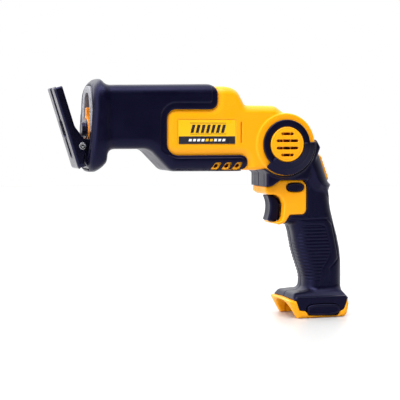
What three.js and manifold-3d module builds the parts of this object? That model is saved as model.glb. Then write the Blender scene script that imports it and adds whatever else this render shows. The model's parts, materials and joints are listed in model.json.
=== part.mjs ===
// A compact reciprocating saw whose handle folds on a hub behind the motor.
// Millimetres, +Z up, blade end towards -X, left side towards -Y.
// Every piece is drawn around the hub's axis, and the last group lifts the hub to its height over the foot.
import * as THREE from "three";
import { mergeVertices } from "three/addons/utils/BufferGeometryUtils.js";
import Module from "manifold-3d";

const wasm = await Module();
wasm.setup();

// ---- driving sizes ----
const gap = 0.3; // clearance between pieces that touch
const hubHeight = 175.6; // hub axis over the foot's underside
const footRear = 62; // the origin lies on the foot's rear wall, this far behind the hub axis
const spindleZ = 15.5; // plunger and motor axis over the hub axis
const stroke = 14.3;
const drum = { radius: 31.2, half: 28.9, wall: 2.7 };
const ring = { radius: 24.7, bore: 17.9, inner: 29.4, outer: 33 };
const surround = { radius: 33.6, from: -146, to: 5 }; // degrees, over +X, towards +Z
const bodyHalf = 28;
const bootHalf = 30;
const bellHalf = 33;
const shellWall = 2.4;
const gripHalf = 19;
const coreHalf = 15.7;
const frameHalf = 18;
const footHalf = 29;
const footZ = -hubHeight;
const seamHalf = 0.15; // each clamshell half stops this far from the middle plane
const shoePivot = { x: -203.4, z: -0.7, tilt: 17.1 };
const crank = { x: -125.5, teeth: 32, meshRadius: 17.5, discRadius: 20 };
const pinion = { teeth: 8, tip: 5.1, root: 3.6, front: -111, rear: -105.5 };
const releaseSlope = 20.4; // how far the handle's back leans from upright at the release button

// ---- materials ----
function finish(color, roughness, metalness = 0) {
  return new THREE.MeshStandardMaterial({ color, roughness, metalness });
}
const yellowAbs = finish(0xffc400, 0.35);
const blackRubber = finish(0x1b1b22, 0.7);
const blackNylon = finish(0x202026, 0.5);
const greyNylon = finish(0x9a9aa0, 0.4);
const orangeSteel = finish(0xe88a10, 0.4, 0.3);
const blackSteel = finish(0x2a2a2e, 0.35, 0.8);
const steel = finish(0xb0b2b5, 0.3, 0.9);
const castMetal = finish(0x8d9094, 0.55, 0.8);
const bronze = finish(0x9c7440, 0.45, 0.8);
const copper = finish(0xb46a3a, 0.4, 0.8);
const magnetGrey = finish(0x3a3a3d, 0.8);
const redCover = finish(0xa51c1c, 0.55);
const labelBlack = finish(0x18181c, 0.4);

// ---- solids from three.js geometry ----
function toSolid(geometry) {
  const bare = geometry.clone();
  bare.deleteAttribute("normal");
  bare.deleteAttribute("uv");
  const merged = mergeVertices(bare, 1e-4);
  return new wasm.Manifold(
    new wasm.Mesh({
      numProp: 3,
      vertProperties: new Float32Array(merged.attributes.position.array),
      triVerts: new Uint32Array(merged.index.array),
    }),
  );
}

function toGeometry(solid) {
  const mesh = solid.getMesh();
  const geometry = new THREE.BufferGeometry();
  geometry.setAttribute("position", new THREE.BufferAttribute(mesh.vertProperties, 3));
  geometry.setIndex(new THREE.BufferAttribute(mesh.triVerts, 1));
  geometry.computeVertexNormals();
  return geometry;
}

function joined(...solids) {
  return solids.reduce((whole, next) => whole.add(next));
}

function cut(solid, ...tools) {
  return tools.reduce((left, tool) => left.subtract(tool), solid);
}

function block(x, y, z) {
  const box = new THREE.BoxGeometry(x[1] - x[0], y[1] - y[0], z[1] - z[0]);
  return toSolid(box.translate((x[0] + x[1]) / 2, (y[0] + y[1]) / 2, (z[0] + z[1]) / 2));
}

// A round bar along one axis, between two stations on it; centre gives the other two coordinates.
function rod(axis, radius, from, to, centre, sides = 24) {
  const bar = new THREE.CylinderGeometry(radius, radius, to - from, sides);
  const middle = (from + to) / 2;
  if (axis === "x") return toSolid(bar.rotateZ(Math.PI / 2).translate(middle, centre[0], centre[1]));
  if (axis === "y") return toSolid(bar.translate(centre[0], middle, centre[1]));
  return toSolid(bar.rotateX(Math.PI / 2).translate(centre[0], centre[1], middle));
}

function shapeOf(points) {
  return new THREE.Shape(points.map(([u, v]) => new THREE.Vector2(u, v)));
}

function extruded(points, length, bevel) {
  return new THREE.ExtrudeGeometry(shapeOf(points), {
    depth: length - 2 * bevel,
    bevelEnabled: bevel > 0,
    bevelThickness: bevel,
    bevelSize: bevel,
    bevelOffset: -bevel,
    bevelSegments: 2,
  });
}

// A side outline, [x, z] points, given a width from y[0] to y[1].
function slab(points, y, bevel = 0) {
  return toSolid(extruded(points, y[1] - y[0], bevel).rotateX(Math.PI / 2).translate(0, y[1] - bevel, 0));
}

// A front outline, [y, z] points, given a length from x[0] to x[1].
function prism(points, x, bevel = 0) {
  const body = extruded(points, x[1] - x[0], bevel).rotateX(Math.PI / 2).rotateZ(Math.PI / 2);
  return toSolid(body.translate(x[0] + bevel, 0, 0));
}

// The outline moved inwards by d (outwards when d is negative).
function inset(points, d) {
  const turn = THREE.ShapeUtils.area(points.map(([x, y]) => new THREE.Vector2(x, y))) > 0 ? 1 : -1;
  return points.map((p, i) => {
    const before = points[(i + points.length - 1) % points.length];
    const after = points[(i + 1) % points.length];
    const a = new THREE.Vector2(p[0] - before[0], p[1] - before[1]).normalize();
    const b = new THREE.Vector2(after[0] - p[0], after[1] - p[1]).normalize();
    const normal = new THREE.Vector2(-a.y - b.y, a.x + b.x).normalize();
    const reach = (d * turn) / Math.max(0.5, normal.dot(new THREE.Vector2(-a.y, a.x)));
    return [p[0] + normal.x * reach, p[1] + normal.y * reach];
  });
}

function arc(radius, fromDeg, toDeg, steps, centre = [0, 0]) {
  return Array.from({ length: steps + 1 }, (_, i) => {
    const angle = ((fromDeg + ((toDeg - fromDeg) * i) / steps) * Math.PI) / 180;
    return [centre[0] + radius * Math.cos(angle), centre[1] + radius * Math.sin(angle)];
  });
}

function oval(halfU, halfV, centre, power = 2.6, steps = 24) {
  return Array.from({ length: steps }, (_, i) => {
    const angle = (2 * Math.PI * i) / steps;
    const c = Math.cos(angle);
    const s = Math.sin(angle);
    const u = halfU * Math.sign(c) * Math.abs(c) ** (2 / power);
    const v = halfV * Math.sign(s) * Math.abs(s) ** (2 / power);
    return [centre[0] + u, centre[1] + v];
  });
}

// A box leaned like the handle's back: depth is measured inwards from the back's surface.
const back = { x: 47.4, z: -24.5 };
function leanedBlock(depth, halfWidth, halfLength) {
  const box = new THREE.BoxGeometry(depth[1] - depth[0], 2 * halfWidth, 2 * halfLength);
  box.translate(-(depth[0] + depth[1]) / 2, 0, 0);
  box.rotateY((-releaseSlope * Math.PI) / 180);
  return toSolid(box.translate(back.x, 0, back.z));
}

function coil(from, to, radius, wire, turns) {
  const axis = new THREE.Vector3().subVectors(to, from);
  const side = new THREE.Vector3(0, 1, 0);
  const up = new THREE.Vector3().crossVectors(axis, side).normalize();
  const points = [];
  const steps = turns * 6;
  for (let i = 0; i <= steps; i += 1) {
    const angle = (2 * Math.PI * i) / 6;
    const point = new THREE.Vector3().copy(from).addScaledVector(axis, i / steps);
    point.addScaledVector(side, radius * Math.cos(angle));
    point.addScaledVector(up, radius * Math.sin(angle));
    points.push(point);
  }
  return wireAlong(points, wire, steps, 4);
}

function wireAlong(points, radius, steps, sides) {
  const section = Array.from({ length: sides }, (_, i) => {
    const angle = (2 * Math.PI * i) / sides;
    return [radius * Math.cos(angle), radius * Math.sin(angle)];
  });
  const path = new THREE.CatmullRomCurve3(points);
  return toSolid(new THREE.ExtrudeGeometry(shapeOf(section), { steps, extrudePath: path }));
}

// ---- scene graph ----
const saw = new THREE.Group();
saw.position.set(-footRear, 0, hubHeight);

function add(name, solid, material, parent = saw) {
  const mesh = new THREE.Mesh(toGeometry(solid), material);
  mesh.name = name;
  parent.add(mesh);
  return mesh;
}

function halves(name, solid, half, z, material) {
  const wide = half + 10;
  add(`${name}_left`, solid.intersect(block([-260, 100], [-wide, -seamHalf], z)), material);
  add(`${name}_right`, solid.intersect(block([-260, 100], [seamHalf, wide], z)), material);
}

// ---- motor housing: two clamshell halves round the motor and the hub drum ----
const deckZ = 37.9;
const housingOutline = [
  [-130, -8],
  [-116.5, -24],
  [-31, -25.3],
  [-20, -23.9],
  [-10, 0],
  [0.9, 30],
  [0.5, deckZ],
  [-41.5, deckZ],
  [-45, 46],
  [-49, 52.3],
  [-55, 56],
  [-63.7, 57.4],
  [-75, 56.8],
  [-130, 55.6],
];
const housingScrews = [
  [-58, 46],
  [-25, 33],
  [-34, -17],
  [-92, 46],
];
const ventSlots = [-72.5, -61.5, -50.5].map((x) => [
  [x - 5, -24],
  [x + 2.5, -24],
  [x + 5, -17.5],
  [x - 2.5, -17.5],
]);
const label = { x: [-111.5, -52.5], z: [0.4, 24.4], thick: 0.9, recess: 1.2 };
const gearCase = { x: [-174.5, -102.5], half: 24, bottom: -1, split: 26, top: 53, wall: 3 };

function housing() {
  const body = joined(slab(housingOutline, [-bodyHalf, bodyHalf], 4), drumBlank(drum.radius, drum.half));
  const bay = slab(inset(housingOutline, shellWall), [shellWall - bodyHalf, bodyHalf - shellWall]);
  let shell = cut(body, bay, drumBlank(drum.radius - drum.wall, drum.half - drum.wall));
  for (const at of housingScrews) shell = shell.add(rod("y", 4, -bodyHalf + 2, bodyHalf - 2, at, 12));
  shell = shell.subtract(gearCaseBlank(gap));
  shell = shell.subtract(rod("y", ring.bore - gap, -40, 40, [0, 0], 36));
  for (const at of housingScrews) shell = cut(shell, ...screwHoles(at, bodyHalf - 3));
  for (const slot of ventSlots) shell = shell.subtract(slab(inset(slot, 1), [-40, 40]));
  for (const side of [-1, 1]) shell = shell.subtract(labelBlock(side, label.recess, gap));
  return shell;
}

function drumBlank(radius, half) {
  return rod("y", radius, -half, half, [0, 0], 44);
}

function labelBlock(side, depth, grow) {
  const outer = bodyHalf + 0.3;
  const y = side < 0 ? [-outer, depth - bodyHalf] : [bodyHalf - depth, outer];
  const x = [label.x[0] - grow, label.x[1] + grow];
  return block(x, y, [label.z[0] - grow, label.z[1] + grow]);
}

const screw = { shank: 1.6, head: 3, headDepth: 2.4 };
function screwSolid(at, reach) {
  return joined(
    rod("y", screw.shank, -reach + 6, reach, at, 10),
    cut(
      rod("y", screw.head, reach - 0.2, reach + screw.headDepth, at, 16),
      rod("y", 1.4, reach + 1, reach + screw.headDepth + 1, at, 6),
    ),
  );
}

function screwHoles(at, reach) {
  return [
    rod("y", screw.shank + gap, -reach + 5.5, reach + 1, at, 10),
    rod("y", screw.head + gap, reach - 0.5, reach + 20, at, 16),
  ];
}

halves("housing", housing(), bodyHalf, [-60, 80], yellowAbs);
housingScrews.forEach((at, i) => add(`housing_screw_${i + 1}`, screwSolid(at, bodyHalf - 3), steel));
for (const [side, name] of [[-1, "left"], [1, "right"]]) {
  const y = side < 0 ? [-bodyHalf, -bodyHalf + label.thick] : [bodyHalf - label.thick, bodyHalf];
  add(`label_plate_${name}`, block(label.x, y, label.z), labelBlack);
}

// ---- vent covers: the bosses that the folding handle turns on ----
function ventCover(side) {
  const radius = ring.bore - 0.6;
  const y = side < 0 ? [-34, -23] : [23, 34];
  let cover = rod("y", radius, y[0], y[1], [0, 0], 36);
  cover = cover.subtract(rod("y", radius - 2.4, side < 0 ? -32 : 20, side < 0 ? -20 : 32, [0, 0], 24));
  for (const [z, half] of [[10.5, 6.7], [3.6, 11.6], [-3.6, 11.6], [-10.5, 6.7]]) {
    cover = cover.subtract(block([-half, half], [-40, 40], [z - 1.1, z + 1.1]));
  }
  return cover;
}
add("vent_cover_left", ventCover(-1), yellowAbs);
add("vent_cover_right", ventCover(1), yellowAbs);

// ---- gear case, cover and bushings ----
function gearCaseBlank(grow) {
  const body = block(
    [gearCase.x[0] - grow, gearCase.x[1] + grow],
    [-gearCase.half - grow, gearCase.half + grow],
    [gearCase.bottom - grow, gearCase.top + grow],
  );
  return body.add(rod("x", 11 + grow, -180.5 - grow, gearCase.x[0], [0, spindleZ], 24));
}

function gearCaseHollow() {
  const side = gearCase.half - gearCase.wall;
  const room = block([-147.3, -104.5], [-side, side], [3.6, gearCase.top - 4]);
  return joined(
    room,
    block([-166, -155.8], [-side, side], [3.6, 34]),
    rod("x", 5.4, -190, -150, [0, spindleZ], 20),
    rod("x", 8, -179.7, -166.3, [0, spindleZ], 24),
    rod("x", 8, -155.8, -147, [0, spindleZ], 24),
    rod("x", 6.5, -106, -100, [0, spindleZ], 24),
    rod("z", 8.3, -5, 4, [crank.x, 0], 24),
  );
}

function gearCasePart(z) {
  const whole = cut(gearCaseBlank(0), gearCaseHollow());
  return whole.intersect(block([-200, -90], [-40, 40], z));
}
add("gear_case", gearCasePart([-20, gearCase.split]), castMetal);
add("gear_case_cover", gearCasePart([gearCase.split + gap, 60]), castMetal);

function bushing(x) {
  return cut(rod("x", 7.7, x[0], x[1], [0, spindleZ], 20), rod("x", 5.3, x[0] - 1, x[1] + 1, [0, spindleZ], 20));
}
add("front_bushing", bushing([-179.3, -166.7]), bronze);
add("rear_bushing", bushing([-155.5, -147.4]), bronze);
add(
  "crank_bearing",
  cut(rod("z", 8, -0.9, 3.5, [crank.x, 0], 24), rod("z", 3.3, -2, 5, [crank.x, 0], 16)),
  steel,
);

// ---- nose: rubber boot, bezel and the shoe's bracket ----
const mouth = { half: 12.5, top: 50.2, lowHalf: 15.2, lowTop: 12, bottom: -23.4 };
const bootOutline = [
  [-184, -4.6],
  [-139.5, -4.6],
  [-130, -10.3],
  [-124, -19],
  [-116.5, -26.4],
  [-47.5, -27.4],
  [-41.5, -25],
  [-39.5, -19],
  [-41.5, -13],
  [-47.5, -10.4],
  [-114, -10.1],
  [-120, -7.7],
  [-122.5, -2],
  [-122.5, 26],
  [-120, 32],
  [-114, 34.4],
  [-79, 34.4],
  [-72.5, 37.5],
  [-70.5, 44],
  [-72, 59],
  [-172.5, 57.6],
  [-184, 56.5],
];
const bellOutline = [
  [-198.5, -26.1],
  [-198.5, -4],
  [-194.5, 22],
  [-194.5, 50],
  [-192.5, 58],
  [-188, 65.2],
  [-184, 64],
  [-180.5, 55.4],
  [-180.5, -10],
  [-186, -26.1],
];
function noseBoot() {
  const front = oval(bellHalf, 45.6, [0, 19.5], 3.2, 40);
  const bell = slab(bellOutline, [-bellHalf, bellHalf]).intersect(prism(front, [-210, -170]));
  let boot = joined(bell, slab(bootOutline, [-bootHalf, bootHalf], 4));
  boot = cut(boot, slab(inset(housingOutline, -gap), [-bodyHalf - gap, bodyHalf + gap]), gearCaseBlank(gap));
  boot = cut(boot, ...mouthHollow(0));
  boot = boot.subtract(bezelSolid(gap));
  for (const slot of ventSlots) boot = boot.subtract(slab(slot, [-40, 40]));
  return boot;
}

function mouthHollow(grow) {
  const upper = oval(mouth.half + grow, 36, [0, 14.2], 3, 28);
  return [
    prism(upper, [-210, -175]),
    block([-210, -180.8], [-mouth.lowHalf, mouth.lowHalf], [mouth.bottom, mouth.lowTop]),
  ];
}

function bezelSolid(grow) {
  const rim = prism(oval(24 + grow, 35 + grow, [0, 22], 2.6, 32), [-196, -189 + grow]);
  const opening = prism(oval(mouth.half - grow, 70 - grow, [0, -19.8], 6, 28), [-210, -170]);
  return cut(rim, opening, block([-210, -170], [-mouth.lowHalf, mouth.lowHalf], [-40, mouth.lowTop]));
}
add("nose_boot", noseBoot(), blackRubber);
add("nose_bezel", bezelSolid(0).intersect(block([-195, -170], [-40, 40], [-60, 80])), greyNylon);

const ear = { inner: 12, outer: 14.6 };
function shoeBracket() {
  const side = [
    [-207.6, 3.5],
    [-203, 7],
    [-197, 6],
    [-182, 2],
    [-182, -22.8],
    [-196.5, -22.8],
    [-206, -9],
  ];
  const ears = cut(slab(side, [-ear.outer, ear.outer]), slab(inset(side, -3), [-ear.inner, ear.inner]));
  const floor = block([-196.5, -182], [-ear.outer, ear.outer], [-22.8, -20]);
  const wall = block([-184, -182], [-ear.outer, ear.outer], [-22.8, -2]);
  const pinHole = rod("y", 2.8, -40, 40, [shoePivot.x, shoePivot.z], 20);
  return cut(joined(ears, floor, wall), pinHole);
}
add("shoe_bracket", shoeBracket(), blackSteel);
function shoePivotPin() {
  const at = [shoePivot.x, shoePivot.z];
  const heads = [rod("y", 3.4, -18.4, -17.3, at, 20), rod("y", 3.4, 17.3, 18.4, at, 20)];
  return joined(rod("y", 2.5, -17.6, 17.6, at, 16), ...heads);
}
add("shoe_pivot_pin", shoePivotPin(), steel);

// ---- shoe: a slotted channel that leans forward on its pivot ----
const shoe = { front: -10.2, sheet: 2, half: 17, bottom: -20.8, top: 60.8, slot: 4, window: 6.8 };
function shoeSolid() {
  const side = [
    [shoe.front, shoe.top],
    [-1.2, shoe.top],
    [-1.2, 20],
    [4, 6],
    [4, -4],
    [-2.3, -14],
    [-2.3, shoe.bottom],
    [shoe.front, shoe.bottom],
  ];
  const inside = block([shoe.front + shoe.sheet, 20], [shoe.sheet - shoe.half, shoe.half - shoe.sheet], [-40, 80]);
  return cut(
    slab(side, [-shoe.half, shoe.half]),
    inside,
    block([-20, 0], [-shoe.slot, shoe.slot], [-9.3, 80]),
    block([-20, 0], [-shoe.window, shoe.window], [11.6, 28.4]),
    rod("y", 2.8, -40, 40, [0, 0], 20),
  );
}
const shoeMesh = add("shoe", shoeSolid(), blackSteel);
shoeMesh.position.set(shoePivot.x, 0, shoePivot.z);
shoeMesh.rotation.y = (-shoePivot.tilt * Math.PI) / 180;

// ---- plunger, scotch yoke and blade clamp, drawn at mid stroke ----
const clamp = { front: -201.5, rear: -187.8, radius: 9.6 };
function bladeClamp() {
  const collar = rod("x", clamp.radius, clamp.front, clamp.rear, [0, spindleZ], 28);
  const slot = block([clamp.front - 1, clamp.rear - 3], [-0.9, 0.9], [spindleZ - 7.5, spindleZ + 7.5]);
  return cut(collar, slot);
}
function clampLever() {
  const at = [0, spindleZ];
  const hoop = rod("x", clamp.radius + 1.6, clamp.front + 5, clamp.front + 10, at, 28);
  const tab = block([clamp.front + 5, clamp.front + 10], [-2.5, 2.5], [spindleZ + clamp.radius, 36]);
  return cut(hoop.add(tab), rod("x", clamp.radius + gap, -220, -170, at, 28));
}
add("blade_clamp", bladeClamp(), blackSteel);
add("clamp_lever", clampLever(), orangeSteel);
const yoke = { x: [-131, -120], half: 16, z: [12.4, 20] };
// The shaft's underside is flat where it passes over the crank gear.
function plungerShaft() {
  const bar = rod("x", 5, clamp.rear + gap, yoke.x[0] - gap, [0, spindleZ], 20);
  return bar.subtract(block([-154.8, -120], [-10, 10], [0, 12.2]));
}
add("plunger_shaft", plungerShaft(), steel);
function scotchYoke() {
  const slot = block([crank.x - 3.3, crank.x + 3.3], [-yoke.half + 3, yoke.half - 3], [0, 40]);
  return cut(block(yoke.x, [-yoke.half, yoke.half], yoke.z), slot);
}
add("scotch_yoke", scotchYoke(), steel);

// ---- crank gear: a face gear under the motor pinion ----
const tooth = { inner: 14.5, width: 1.1, root: 9.6, top: 11.4 };
function crankGear() {
  const at = [crank.x, 0];
  let gear = joined(rod("z", crank.discRadius, 4.4, tooth.root, at, 48), rod("z", 3, -0.7, 5, at, 16));
  for (let i = 0; i < crank.teeth; i += 1) {
    const box = new THREE.BoxGeometry(crank.discRadius - tooth.inner, tooth.width, tooth.top - tooth.root + 1);
    box.translate((crank.discRadius + tooth.inner) / 2 - 0.2, 0, (tooth.root + tooth.top - 1) / 2);
    box.rotateZ((2 * Math.PI * (i + 0.5)) / crank.teeth);
    gear = gear.add(toSolid(box.translate(crank.x, 0, 0)));
  }
  return gear;
}
add("crank_gear", crankGear(), steel);
// The roller stands just under the yoke, because the slide and the crank move as two joints.
add("crank_roller", rod("z", 3, tooth.root + gap, yoke.z[0] - 0.5, [crank.x, -stroke / 2], 20), bronze);

// ---- motor ----
const motor = { front: -97.5, rear: -44.5, radius: 18.5 };
function motorPinion() {
  let gear = rod("x", pinion.root, pinion.front, pinion.rear, [0, 0], 24);
  for (let i = 0; i < pinion.teeth; i += 1) {
    const box = new THREE.BoxGeometry(pinion.rear - pinion.front, 1, pinion.tip);
    box.translate((pinion.front + pinion.rear) / 2, 0, -pinion.tip / 2);
    gear = gear.add(toSolid(box.rotateX((2 * Math.PI * i) / pinion.teeth)));
  }
  return cut(gear, rod("x", 2.6, -120, -100, [0, 0], 16));
}
const motorAxis = [0, spindleZ];
function motorCan() {
  const can = rod("x", motor.radius, motor.front, motor.rear, motorAxis, 32);
  return cut(can, rod("x", motor.radius - 1.6, motor.front + 2, motor.rear + 1, motorAxis, 32), motorEyes());
}
function motorEyes() {
  return rod("x", 4.4, motor.front - 5, motor.front + 5, motorAxis, 20);
}
function magnet(side) {
  const shellRing = cut(
    rod("x", motor.radius - 2.2, -90, -56, motorAxis, 32),
    rod("x", 14.2, -100, -40, motorAxis, 32),
  );
  const z = side > 0 ? [spindleZ + 3, spindleZ + 30] : [spindleZ - 30, spindleZ - 3];
  return shellRing.intersect(block([-100, -40], [-30, 30], z));
}
add("motor_can", motorCan(), steel);
add("magnet_upper", magnet(1), magnetGrey);
add("magnet_lower", magnet(-1), magnetGrey);
add(
  "motor_end_bell",
  cut(
    rod("x", motor.radius, motor.rear + gap, -39, motorAxis, 32),
    rod("x", 2.9, -50, -30, motorAxis, 16),
    block([-50, -30], [-11, 11], [spindleZ + 8, spindleZ + 11]),
    block([-50, -30], [-11, 11], [spindleZ - 11, spindleZ - 8]),
  ),
  blackNylon,
);
const shaftRoom = rod("x", 2.6, -120, -20, [0, 0], 16);
const shaftGroup = new THREE.Group();
shaftGroup.position.z = spindleZ;
saw.add(shaftGroup);
add("motor_shaft", rod("x", 2.3, -110.8, -30, [0, 0], 16), steel, shaftGroup);
add("motor_pinion", motorPinion(), steel, shaftGroup);
function rotorSolid() {
  let core = rod("x", 13.6, -88, -60, [0, 0], 36);
  for (let i = 0; i < 6; i += 1) {
    const slot = new THREE.BoxGeometry(40, 1.6, 4).translate(-74, 0, 13);
    core = core.subtract(toSolid(slot.rotateX((Math.PI * i) / 3)));
  }
  return cut(core, shaftRoom);
}
add("motor_rotor", rotorSolid(), copper, shaftGroup);
add("commutator", cut(rod("x", 6, -57, -47, [0, 0], 24), shaftRoom), copper, shaftGroup);
function fanSolid() {
  let fan = joined(rod("x", 5, -37.5, -31.5, [0, 0], 24), rod("x", 16.5, -37.5, -36, [0, 0], 32));
  for (let i = 0; i < 9; i += 1) {
    const blade = new THREE.BoxGeometry(5.8, 1, 12).translate(-34.4, 0, 10);
    fan = fan.add(toSolid(blade.rotateX((2 * Math.PI * i) / 9)));
  }
  return cut(fan, shaftRoom);
}
add("cooling_fan", fanSolid(), blackNylon, shaftGroup);

// ---- folding handle: yellow core halves and black grip halves with the fork ----
const gripOutline = [
  [-18, -44],
  [0, -60],
  [6, -81],
  [13.2, -82.4],
  [16, -90.4],
  [17.2, -100.5],
  [20.2, -113],
  [24, -123.6],
  [28, -134.9],
  [27.8, -144.2],
  [23, -148.6],
  [11.5, -150.3],
  [8.7, -156.6],
  [71.4, -156.6],
  [69, -149],
  [68.9, -126.2],
  [68.6, -114.6],
  [66, -100],
  [62.6, -87.4],
  [58.7, -73.8],
  [55.8, -61.3],
  [53.8, -48.8],
  [55.1, -42.6],
  [52, -38.4],
  [42.6, -11.6],
  [41.5, -2],
  [39, 4.9],
  [31, 5.2],
  ...arc(31, 0, -126, 8),
];
const frameOutline = [
  [-17.8, -42.5],
  [-12.6, -42.2],
  [-3, -35.9],
  [22, -36.2],
  [26.8, -41],
  [26.8, -67],
  [24.2, -71.2],
  [9, -71.4],
  [3.5, -79.5],
  [-3, -81],
  [-7, -79.2],
  [0, -77],
  [1.8, -73.3],
  [3, -61.1],
  [0, -54],
  [-5, -50.7],
  [-14, -50.3],
  [-18, -47.6],
];
const coreOutline = [
  [2, -42],
  [24, -42],
  [46, -50],
  [51, -62],
  [58, -88],
  [64.5, -115],
  [64.8, -158.5],
  [30, -158.5],
  [30, -150],
  [31.6, -145],
  [31.4, -135],
  [24.4, -113],
  [20.6, -92],
  [16.4, -84.5],
  [7, -78],
  [2, -70],
];
const footOutline = [
  [4.3, -157.2],
  [7.6, -163.5],
  [14.9, footZ],
  [65.5, footZ],
  [70.2, -172.5],
  [73.9, -162.1],
  [71.4, -157.2],
];
const lockOff = { centre: [14.3, -43.4], half: [9.1, 4.3] };
const triggerTravel = 5.5;
const handleScrews = [
  [44, -60],
  [40, -104],
  [62.5, -166],
];

function handleCore() {
  const foot = slab(footOutline, [-footHalf, footHalf], 3);
  let core = joined(slab(coreOutline, [-coreHalf, coreHalf], 2), slab(frameOutline, [-frameHalf, frameHalf], 1), foot);
  core = cut(
    core,
    slab(inset(coreOutline, 2.5), [-13, 13]),
    block([-6, 10], [-9, 9], [-78.7, -50.7]),
    block([9, 27], [-9, 9], [-72.5, -49.5]),
    block([33, 56], [-13, 13], [-170, -148]),
    block([20, 56], [-21, 21], [footZ - 1, -161]),
    slab(oval(11, 5.4, [0, 0]).map(([u, v]) => [14 + u, -43.4 + v]), [-13, 13]),
  );
  core = core.subtract(prism(oval(17, 13, [0, footZ], 2.4, 28), [-5, 25]));
  for (const at of handleScrews.slice(0, 2)) core = core.add(rod("y", 4, -13.5, 13.5, at, 12));
  for (const at of handleScrews) core = cut(core, ...screwHoles(at, 13));
  return core.subtract(slab(oval(lockOff.half[0] + gap, lockOff.half[1] + gap, lockOff.centre), [-40, 40]));
}

function gripSkin() {
  const grip = slab(gripOutline, [-gripHalf, gripHalf], 3);
  const flare = slab([[8.7, -156.6], [11.5, -150.5], [64, -147], [71.4, -156.6]], [-27, 27], 2);
  const upper = block([-60, 100], [-40, 40], [-41, 60]);
  const shoulders = slab(gripOutline, [-27, 27], 3).intersect(upper);
  const disc = rod("y", surround.radius, -ring.outer, ring.outer, [0, 0], 44);
  const rings = rod("y", ring.radius, -ring.outer, ring.outer, [0, 0], 36);
  const sector = slab([[0, 0], ...arc(60, surround.from, surround.to, 10)], [-40, 40]);
  let skin = joined(grip, flare, shoulders, disc.intersect(sector), rings);
  skin = cut(
    skin,
    drumBlank(drum.radius + 0.6, ring.inner),
    rod("y", ring.bore, -50, 50, [0, 0], 36),
    slab(inset(frameOutline, -gap), [-40, 40]),
    block([-20, 9], [-40, 40], [-80, -50]),
    slab(inset(housingOutline, -2 * gap), [-bodyHalf - 2 * gap, bodyHalf + 2 * gap]),
    slab(inset(coreOutline, -gap), [-coreHalf - gap, coreHalf + gap]),
    leanedBlock([-3, 3.4], 10 + gap, 14 + gap),
    leanedBlock([-3, 6.4], 7.2 + gap, 11.2 + gap),
    leanedBlock([-3, 16], 5.4, 9.4),
    leanedBlock([15, 24], 3.6, 3.6),
  );
  for (const at of handleScrews) skin = cut(skin, ...screwHoles(at, 13));
  return skin;
}
halves("handle", handleCore(), footHalf, [-190, 60], yellowAbs);
halves("grip", gripSkin(), ring.outer, [-190, 60], blackRubber);
handleScrews.forEach((at, i) => add(`handle_screw_${i + 1}`, screwSolid(at, 13), steel));
for (const [side, name] of [[-1, "left"], [1, "right"]]) {
  const y = side < 0 ? [-footHalf - 2, -footHalf - gap] : [footHalf + gap, footHalf + 2];
  add(`foot_pad_${name}`, slab(oval(18.5, 6.5, [40, -166.6], 3), y), blackRubber);
}

// ---- battery contacts, switch and leads inside the handle ----
const terminal = { x: [35, 57], half: 12, z: [-146, -134] };
add("terminal_block", block(terminal.x, [-terminal.half, terminal.half], terminal.z), blackNylon);
for (const [y, name] of [[-7, "minus"], [7, "plus"]]) {
  const blade = block([38, 50], [y - 0.5, y + 0.5], [-158, terminal.z[0] - gap]);
  add(`contact_${name}`, blade, copper);
}
add("switch_body", block([11, 26.4], [-8.5, 8.5], [-72, -50]), blackNylon);
for (const [y, name, material] of [[-4, "red", redCover], [4, "black", blackNylon]]) {
  const route = [
    new THREE.Vector3(44, y, terminal.z[1] + gap),
    new THREE.Vector3(46, y, -118),
    new THREE.Vector3(48, y, -90),
    new THREE.Vector3(37, y, -70),
    new THREE.Vector3(27, y, -62),
  ];
  add(`lead_${name}`, wireAlong(route, 1.2, 12, 8), material);
}

// ---- trigger and its spring ----
const triggerOutline = [
  [-11.8, -51.2],
  [-9.3, -57],
  [-8.5, -62.6],
  [-9.3, -70],
  [-11.2, -76.4],
  [-9.4, -78.2],
  [-2, -78.3],
  [1, -73.3],
  [2.4, -61.1],
  [-0.5, -54.5],
  [-5, -51.2],
];
function triggerSolid() {
  const grip = slab(triggerOutline, [-8.6, 8.6], 1);
  return cut(grip, rod("x", 3.2, -6, 10, [0, -64], 16));
}
add("trigger", triggerSolid(), blackNylon);
const springFrom = new THREE.Vector3(-4.5, 0, -64);
const springTo = new THREE.Vector3(9.8, 0, -64);
add("trigger_spring", coil(springFrom, springTo, 2.2, 0.45, 6), steel);

// ---- lock-off button: a bar pushed across the handle ----
function lockOffBar() {
  return slab(oval(lockOff.half[0], lockOff.half[1], lockOff.centre, 2.6, 20), [-20.5, 18], 0.8);
}
add("lock_off_button", lockOffBar(), blackNylon);

// ---- fold release at the handle's back ----
add("release_bezel", cut(leanedBlock([0, 3], 10, 14), leanedBlock([-9, 20], 7.6, 11.6)), yellowAbs);
add("release_button", joined(leanedBlock([-1.2, 3], 7.2, 11.2), leanedBlock([2.5, 8], 5, 9)), blackNylon);
add("pivot_latch", leanedBlock([8 + gap, 11.5], 5, 5), steel);
const lean = (releaseSlope * Math.PI) / 180;
function behindBack(depth) {
  return new THREE.Vector3(back.x - depth * Math.cos(lean), 0, back.z - depth * Math.sin(lean));
}
add("release_spring", coil(behindBack(12.3), behindBack(21.5), 2.4, 0.45, 4), steel);

export default saw;
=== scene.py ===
"""Looks of a compact reciprocating saw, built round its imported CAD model.

Lengths are millimetres round the folding hub's axis, as in the CAD source, until a mesh is finished
and moved to the row frame in metres. Sculpted pieces are distance fields, negative inside, sampled on
a grid and meshed by surface nets. Both sides are alike, so most fields use w, the distance from the
middle plane, and each half is meshed on its own side.
"""
import copy
import json
import math

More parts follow.
